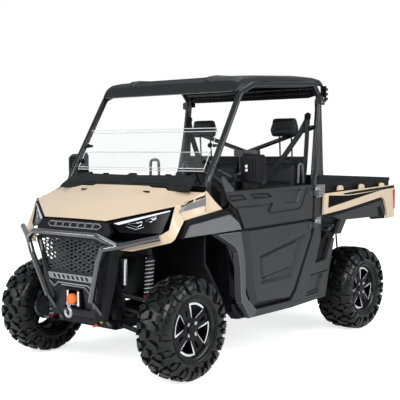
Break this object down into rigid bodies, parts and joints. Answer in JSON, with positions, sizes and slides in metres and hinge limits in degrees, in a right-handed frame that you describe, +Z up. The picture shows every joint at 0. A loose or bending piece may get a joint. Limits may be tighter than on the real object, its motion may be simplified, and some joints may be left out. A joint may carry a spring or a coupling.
{
  "type": "side by side utility vehicle",
  "caption": "Side by side utility vehicle with a roll cage cab, half doors, folding-gate tipping cargo bed, brush guard with winch, and steered lugged wheels.",
  "frame": {"origin": "on the ground, midway along and across the vehicle", "axes": "+Y towards the rear, +X towards the vehicle's left, +Z up"},
  "size_m": [1.86, 3.0879, 1.998],
  "materials": {
    "frame_black": "satin",
    "cage_black": "satin",
    "tan_paint": "semi-gloss",
    "grey_plastic": "textured",
    "black_plastic": "textured",
    "seat_vinyl": "grained",
    "clear_sheet": "clear",
    "lamp_lens": "glossy",
    "red_lens": "glossy",
    "cast_metal": "rough",
    "steel": "brushed",
    "shock_metal": "satin",
    "orange_rubber": "matte",
    "wheel_grip": "matte",
    "tyre_rubber": "matte",
    "alloy_black": "gloss black with machined faces"
  },
  "bodies": {
    "chassis": {"arms": "frame_black", "brush_guard": "cage_black", "cab_tub": "black_plastic", "cage_cross": "cage_black", "cage_left": "cage_black", "cage_right": "cage_black", "cowl": "black_plastic", "dashboard": "black_plastic", "door_hinges": "steel", "driveline": "cast_metal", "engine": "cast_metal", "fenders": "tan_paint", "flares": "grey_plastic", "frame": "frame_black", "front_fascia": "black_plastic", "grille": "black_plastic", "headlamps": "lamp_lens", "headrests": "seat_vinyl", "hitch_receiver": "frame_black", "hood": "tan_paint", "mirrors": "black_plastic", "muffler": "steel", "quarters": "grey_plastic", "rack_housing": "frame_black", "radiator": "cast_metal", "rear_hubs": "cast_metal", "rear_panel": "black_plastic", "roof": "black_plastic", "seat_back": "seat_vinyl", "seat_base": "seat_vinyl", "shocks": "shock_metal", "skid_plate": "black_plastic", "steering_column": "frame_black", "winch": "steel", "winch_hook": "orange_rubber", "windshield": "clear_sheet", "windshield_clamps": "cage_black"},
    "steering_wheel": {"steering_wheel": "wheel_grip"},
    "steering_rack": {"steering_rack": "frame_black"},
    "knuckle_left": {"knuckle_left": "cast_metal"},
    "knuckle_right": {"knuckle_right": "cast_metal"},
    "door_left": {"door_left": "grey_plastic"},
    "door_right": {"door_right": "grey_plastic"},
    "bed": {"bed_box": "black_plastic", "bed_trim": "tan_paint", "tail_lamps": "red_lens"},
    "tailgate": {"tailgate": "black_plastic"},
    "wheel_front_left": {"tyre_front_left": "tyre_rubber", "rim_front_left": "alloy_black"},
    "wheel_front_right": {"tyre_front_right": "tyre_rubber", "rim_front_right": "alloy_black"},
    "wheel_rear_left": {"tyre_rear_left": "tyre_rubber", "rim_rear_left": "alloy_black"},
    "wheel_rear_right": {"tyre_rear_right": "tyre_rubber", "rim_rear_right": "alloy_black"}
  },
  "joints": [
    {"name": "steer_left", "type": "hinge", "parent": "chassis", "child": "knuckle_left", "pos_m": [0.59, -1.1365, 0.33], "axis": [0, 0, 1], "range_deg": [-30, 30]},
    {"name": "steer_right", "type": "hinge", "parent": "chassis", "child": "knuckle_right", "pos_m": [-0.59, -1.1365, 0.33], "axis": [0, 0, 1], "range_deg": [-30, 30]},
    {"name": "steering_wheel_turn", "type": "hinge", "parent": "chassis", "child": "steering_wheel", "pos_m": [0.33, -0.4965, 1.16], "axis": [0, 0.766, 0.6428], "range_deg": [-270, 270]},
    {"name": "rack_slide", "type": "slide", "parent": "chassis", "child": "steering_rack", "axis": [1, 0, 0], "range_m": [-0.05, 0.05]},
    {"name": "door_left_hinge", "type": "hinge", "parent": "chassis", "child": "door_left", "pos_m": [0.736, 0.2885, 0.75], "axis": [0, 0, 1], "range_deg": [0, 75]},
    {"name": "door_right_hinge", "type": "hinge", "parent": "chassis", "child": "door_right", "pos_m": [-0.736, 0.2885, 0.75], "axis": [0, 0, -1], "range_deg": [0, 75]},
    {"name": "bed_tilt", "type": "hinge", "parent": "chassis", "child": "bed", "pos_m": [0, 1.3335, 0.872], "axis": [-1, 0, 0], "range_deg": [0, 40]},
    {"name": "tailgate_drop", "type": "hinge", "parent": "bed", "child": "tailgate", "pos_m": [0, 1.5185, 0.898], "axis": [-1, 0, 0], "range_deg": [0, 90]},
    {"name": "wheel_front_left_spin", "type": "hinge", "parent": "knuckle_left", "child": "wheel_front_left", "pos_m": [0.66, -1.1365, 0.33], "axis": [1, 0, 0], "continuous": true},
    {"name": "wheel_front_right_spin", "type": "hinge", "parent": "knuckle_right", "child": "wheel_front_right", "pos_m": [-0.66, -1.1365, 0.33], "axis": [1, 0, 0], "continuous": true},
    {"name": "wheel_rear_left_spin", "type": "hinge", "parent": "chassis", "child": "wheel_rear_left", "pos_m": [0.66, 0.9435, 0.33], "axis": [1, 0, 0], "continuous": true},
    {"name": "wheel_rear_right_spin", "type": "hinge", "parent": "chassis", "child": "wheel_rear_right", "pos_m": [-0.66, 0.9435, 0.33], "axis": [1, 0, 0], "continuous": true}
  ],
  "couplings": [
    {"joint": "steer_right", "follows": "steer_left", "ratio": 1},
    {"joint": "steering_wheel_turn", "follows": "steer_left", "ratio": 9},
    {"joint": "rack_slide", "follows": "steer_left", "m_per_rad": -0.095}
  ]
}
